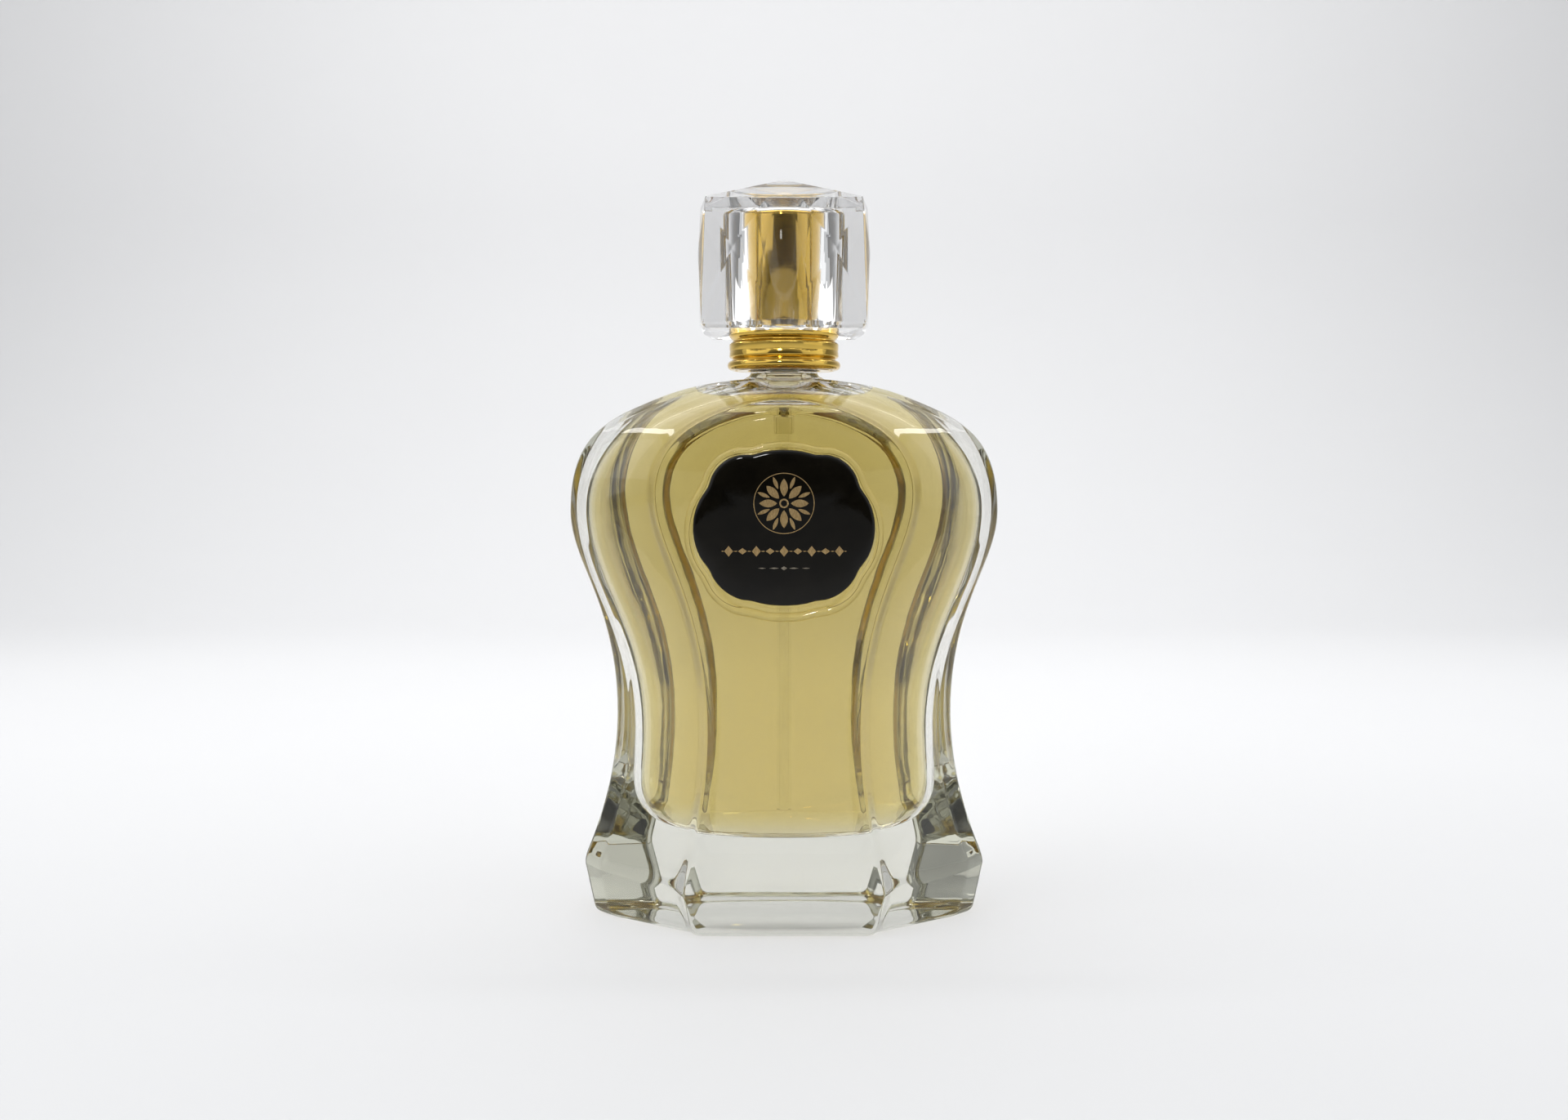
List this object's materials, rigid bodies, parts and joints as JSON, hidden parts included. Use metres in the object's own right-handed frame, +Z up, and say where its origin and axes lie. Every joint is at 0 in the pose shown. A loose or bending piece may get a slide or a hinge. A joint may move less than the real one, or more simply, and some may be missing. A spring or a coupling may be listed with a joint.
{
  "type": "perfume bottle",
  "caption": "Waisted clear glass perfume bottle with pale liquid, scalloped black label plaque, crimped gold-collared spray pump and faceted lift-off cap.",
  "frame": {"origin": "centre of the foot, on the surface the bottle stands on", "axes": "+Z up along the neck and pump axis, -Y towards the viewer on the label side, +X to the viewer's right"},
  "size_m": [0.0726, 0.0414, 0.125],
  "materials": {
    "clear_glass": "clear moulded flint glass, polished",
    "pale_perfume": "clear pale yellow liquid",
    "crystal": "water-clear faceted acrylic, polished",
    "gold": "mirror gold anodised aluminium",
    "black_gloss": "gloss black",
    "gold_foil": "satin gold foil",
    "adhesive": "matte",
    "steel": "polished",
    "natural_plastic": "translucent natural polypropylene",
    "white_plastic": "satin white",
    "seal_rubber": "matte"
  },
  "bodies": {
    "bottle": {"glass_bottle": "clear_glass", "perfume_liquid": "pale_perfume", "plaque_adhesive": "adhesive", "label_plaque": "black_gloss", "ornament_rosette": "gold_foil", "ornament_rule": "gold_foil", "ornament_accent": "gold_foil", "collar": "gold", "crimp_ferrule": "gold", "neck_gasket": "seal_rubber", "pump_housing": "natural_plastic", "stem_guide": "white_plastic", "dip_tube": "natural_plastic", "return_spring": "steel"},
    "valve_ball": {"inlet_ball": "steel"},
    "stem": {"pump_stem": "white_plastic", "piston_seal": "natural_plastic"},
    "spray_head": {"head_core": "white_plastic", "head_shell": "gold", "spray_insert": "white_plastic"},
    "cap": {"cap_block": "crystal", "cap_sleeve": "gold", "cap_liner": "white_plastic"}
  },
  "joints": [
    {"name": "stem_press", "type": "slide", "parent": "bottle", "child": "stem", "axis": [0, 0, -1], "range_m": [0, 0.0039], "stiffness_N_per_m": 1000, "springref_m": -0.002, "deforming": ["return_spring"]},
    {"name": "head_turn", "type": "hinge", "parent": "stem", "child": "spray_head", "pos_m": [0, 0, 0.109], "axis": [0, 0, 1], "continuous": true},
    {"name": "ball_lift", "type": "slide", "parent": "bottle", "child": "valve_ball", "axis": [0, 0, 1], "range_m": [0, 0.0008]},
    {"name": "cap_lift", "type": "slide", "parent": "bottle", "child": "cap", "axis": [0, 0, 1], "range_m": [0, 0.045]}
  ]
}
